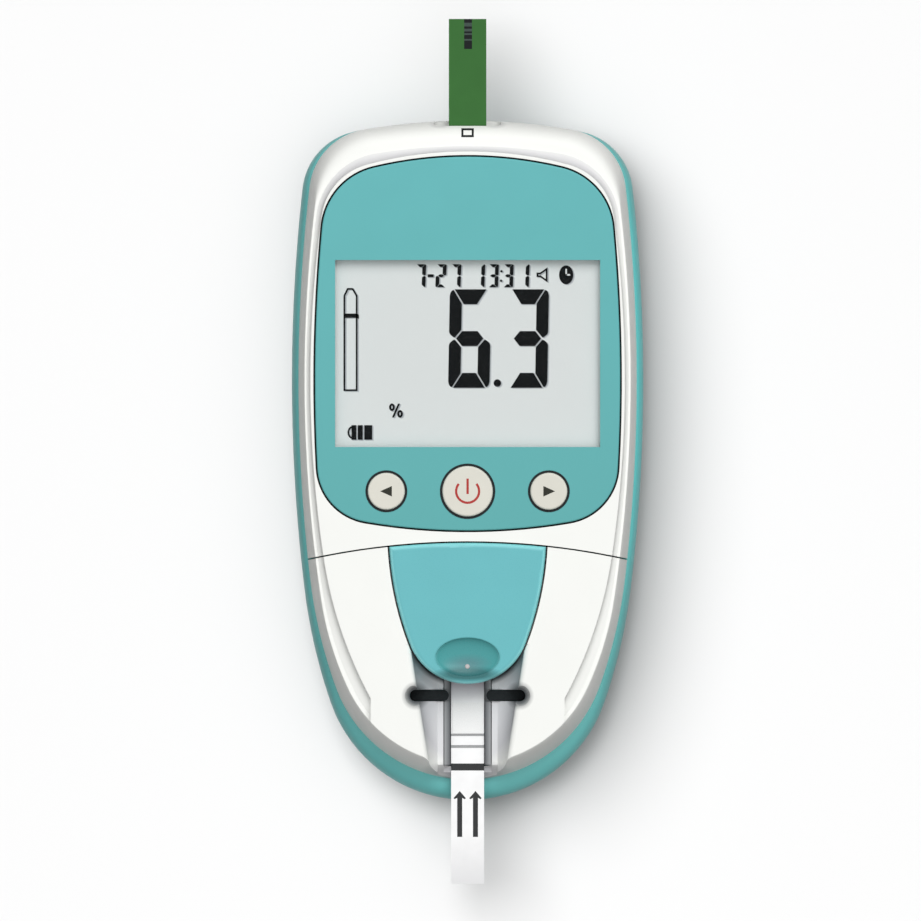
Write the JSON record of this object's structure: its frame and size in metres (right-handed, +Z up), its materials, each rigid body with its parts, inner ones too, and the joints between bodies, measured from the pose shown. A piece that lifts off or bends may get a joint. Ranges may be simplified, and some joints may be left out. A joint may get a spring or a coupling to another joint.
{
  "type": "test strip analyzer",
  "caption": "Handheld test-strip analyzer in a teal and white case with a grey display, round buttons, a flip-up strip lid, a pull-out strip and code chip, and a battery door.",
  "frame": {"origin": "middle of the bounding box in plan, at the table the feet rest on", "axes": "+X to the right of the display, +Y to the code chip, +Z up through the display"},
  "size_m": [0.0704, 0.1732, 0.0257],
  "materials": {
    "teal_shell": "satin moulded plastic",
    "white_shell": "satin moulded plastic",
    "bezel_teal": "smooth painted plastic",
    "lid_teal": "smooth plastic",
    "clear_pane": "clear",
    "lcd_grey": "matt display film",
    "cream_cap": "matt plastic",
    "black_rubber": "matt",
    "grey_plastic": "matt moulded",
    "black_plastic": "matt moulded",
    "board_green": "solder mask",
    "chip_green": "smooth moulded",
    "strip_white": "smooth film",
    "sample_paper": "fine fibre",
    "steel": "plated",
    "gold_contact": "plated",
    "cell_wrap": "printed sleeve",
    "led_clear": "clear moulded",
    "optic_glass": "clear",
    "elastomer": "striped elastomer",
    "flat_cable": "polyimide film"
  },
  "bodies": {
    "case": {"battery_cell_1": "cell_wrap", "battery_cell_2": "cell_wrap", "battery_cell_3": "cell_wrap", "battery_cell_4": "cell_wrap", "battery_plates": "steel", "battery_springs": "steel", "bezel_gasket": "black_rubber", "board_screws": "steel", "bottom_case": "teal_shell", "button_rings": "black_rubber", "buzzer": "black_plastic", "case_screws": "steel", "chip_contacts": "gold_contact", "chip_socket": "black_plastic", "display_bezel": "bezel_teal", "display_window": "clear_pane", "flex_cable": "flat_cable", "flex_connectors": "black_plastic", "guide_pads": "black_rubber", "lcd_connector": "elastomer", "lcd_holder": "grey_plastic", "lcd_panel": "lcd_grey", "lid_hinge_pins": "steel", "main_board": "board_green", "microcontroller": "black_plastic", "nose_cover": "white_shell", "optics_block": "black_plastic", "optics_board": "board_green", "optics_leds": "led_clear", "optics_screws": "steel", "optics_window": "optic_glass", "photodiode": "black_plastic", "radio_module": "steel", "rubber_feet": "black_rubber", "strip_tray": "grey_plastic", "tact_switches": "black_plastic", "top_case": "white_shell"},
    "left_button": {"left_button": "cream_cap", "left_switch_plunger": "black_plastic"},
    "power_button": {"power_button": "cream_cap", "power_switch_plunger": "black_plastic"},
    "right_button": {"right_button": "cream_cap", "right_switch_plunger": "black_plastic"},
    "lid": {"strip_lid": "lid_teal", "lid_seal": "black_rubber"},
    "strip": {"test_strip": "strip_white", "strip_sample_pad": "sample_paper"},
    "chip": {"code_chip": "chip_green"},
    "door": {"battery_door": "teal_shell"}
  },
  "joints": [
    {"name": "left_button_press", "type": "slide", "parent": "case", "child": "left_button", "axis": [0, 0, -1], "range_m": [0, 0.0006], "stiffness_N_per_m": 2000, "springref_m": -0.0003},
    {"name": "power_button_press", "type": "slide", "parent": "case", "child": "power_button", "axis": [0, 0, -1], "range_m": [0, 0.0006], "stiffness_N_per_m": 2000, "springref_m": -0.0003},
    {"name": "right_button_press", "type": "slide", "parent": "case", "child": "right_button", "axis": [0, 0, -1], "range_m": [0, 0.0006], "stiffness_N_per_m": 2000, "springref_m": -0.0003},
    {"name": "lid_hinge", "type": "hinge", "parent": "case", "child": "lid", "pos_m": [0, -0.0217, 0.0237], "axis": [-1, 0, 0], "range_deg": [0, 95]},
    {"name": "test_strip_slide", "type": "slide", "parent": "case", "child": "strip", "axis": [0, -1, 0], "range_m": [0, 0.046]},
    {"name": "code_chip_slide", "type": "slide", "parent": "case", "child": "chip", "axis": [0, 1, 0], "range_m": [0, 0.017]},
    {"name": "battery_door_hinge", "type": "hinge", "parent": "case", "child": "door", "pos_m": [0, 0.0428, 0.0008], "axis": [1, 0, 0], "range_deg": [0, 45]}
  ]
}
